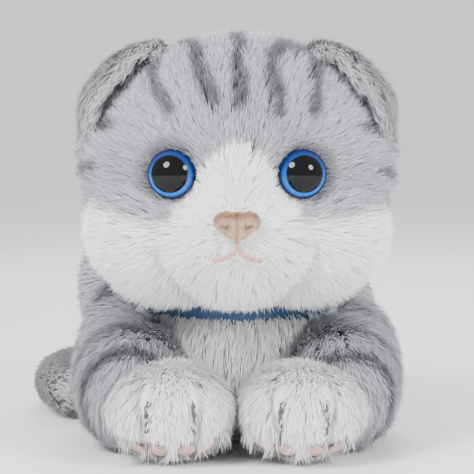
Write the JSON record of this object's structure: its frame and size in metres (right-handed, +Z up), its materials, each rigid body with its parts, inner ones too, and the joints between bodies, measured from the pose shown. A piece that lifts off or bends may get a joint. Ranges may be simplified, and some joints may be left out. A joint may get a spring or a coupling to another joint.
{
  "type": "plush cat",
  "caption": "Lying plush kitten with long tabby pile, folded ears, glossy blue eyes and a satin ribbon collar; head turns and nods, ears lift, front legs and tail swing.",
  "frame": {"origin": "middle of the flat belly panel, on the surface the toy lies on, in the toy's middle plane", "axes": "+Z up, -Y the way the toy looks, +X the toy's own left"},
  "size_m": [0.1619, 0.256, 0.168],
  "materials": {
    "fur_grey": "long pile, silver grey with dark tabby stripes",
    "fur_white": "long pile, off white",
    "ear_lining": "short pile, light grey",
    "filling": "loose polyester fibre",
    "bag_cloth": "plain woven bag of plastic pellets",
    "ribbon": "satin ribbon, steel blue",
    "nose_cloth": "short pile, peach tan",
    "mouth_thread": "embroidery thread, pink",
    "toe_thread": "embroidery thread, dark grey",
    "suede": "imitation suede, pink",
    "eye_clear": "clear, polished",
    "eye_blue": "blue, polished",
    "eye_black": "black, polished",
    "washer": "moulded, white"
  },
  "bodies": {
    "torso": {"torso_skin": "fur_grey", "belly_panel": "fur_white", "pellet_bag": "bag_cloth", "torso_stuffing": "filling", "haunch_skin_left": "fur_grey", "haunch_stuffing_left": "filling", "foot_skin_left": "fur_white", "foot_stuffing_left": "filling", "foot_pads_left": "suede", "haunch_skin_right": "fur_grey", "haunch_stuffing_right": "filling", "foot_skin_right": "fur_white", "foot_stuffing_right": "filling", "foot_pads_right": "suede"},
    "neck": {"neck_stuffing": "fur_white", "collar_ribbon": "ribbon"},
    "head": {"head_skin": "fur_grey", "head_stuffing": "filling", "muzzle_skin": "fur_white", "muzzle_stuffing": "filling", "nose": "nose_cloth", "mouth_thread": "mouth_thread", "eye_dome_left": "eye_clear", "eye_iris_left": "eye_blue", "eye_back_left": "eye_black", "eye_washer_left": "washer", "eye_dome_right": "eye_clear", "eye_iris_right": "eye_blue", "eye_back_right": "eye_black", "eye_washer_right": "washer"},
    "ear_left": {"ear_skin_left": "fur_grey", "ear_lining_left": "ear_lining"},
    "ear_right": {"ear_skin_right": "fur_grey", "ear_lining_right": "ear_lining"},
    "front_leg_left": {"front_leg_skin_left": "fur_grey", "front_leg_stuffing_left": "filling", "paw_skin_left": "fur_white", "toe_stitches_left": "toe_thread", "paw_pads_left": "suede"},
    "front_leg_right": {"front_leg_skin_right": "fur_grey", "front_leg_stuffing_right": "filling", "paw_skin_right": "fur_white", "toe_stitches_right": "toe_thread", "paw_pads_right": "suede"},
    "tail": {"tail_skin": "fur_grey", "tail_stuffing": "filling"}
  },
  "joints": [
    {"name": "neck_turn", "type": "hinge", "parent": "torso", "child": "neck", "pos_m": [0, -0.042, 0.072], "axis": [0, -0.342, 0.9397], "range_deg": [-25, 25]},
    {"name": "head_nod", "type": "hinge", "parent": "neck", "child": "head", "pos_m": [0, -0.042, 0.072], "axis": [1, 0, 0], "range_deg": [-10, 3]},
    {"name": "ear_lift_left", "type": "hinge", "parent": "head", "child": "ear_left", "pos_m": [0.03, -0.06, 0.1615], "axis": [0, -1, 0], "range_deg": [0, 35], "stiffness_Nm_per_rad": 0.004},
    {"name": "ear_lift_right", "type": "hinge", "parent": "head", "child": "ear_right", "pos_m": [-0.03, -0.06, 0.1615], "axis": [0, 1, 0], "range_deg": [0, 35], "stiffness_Nm_per_rad": 0.004},
    {"name": "leg_spread_left", "type": "hinge", "parent": "torso", "child": "front_leg_left", "pos_m": [0.048, -0.034, 0.029], "axis": [0, 0, 1], "range_deg": [0, 30]},
    {"name": "leg_spread_right", "type": "hinge", "parent": "torso", "child": "front_leg_right", "pos_m": [-0.048, -0.034, 0.029], "axis": [0, 0, -1], "range_deg": [0, 30]},
    {"name": "tail_swing", "type": "hinge", "parent": "torso", "child": "tail", "pos_m": [-0.004, 0.112, 0.0135], "axis": [0, 0, -1], "range_deg": [0, 50]}
  ]
}
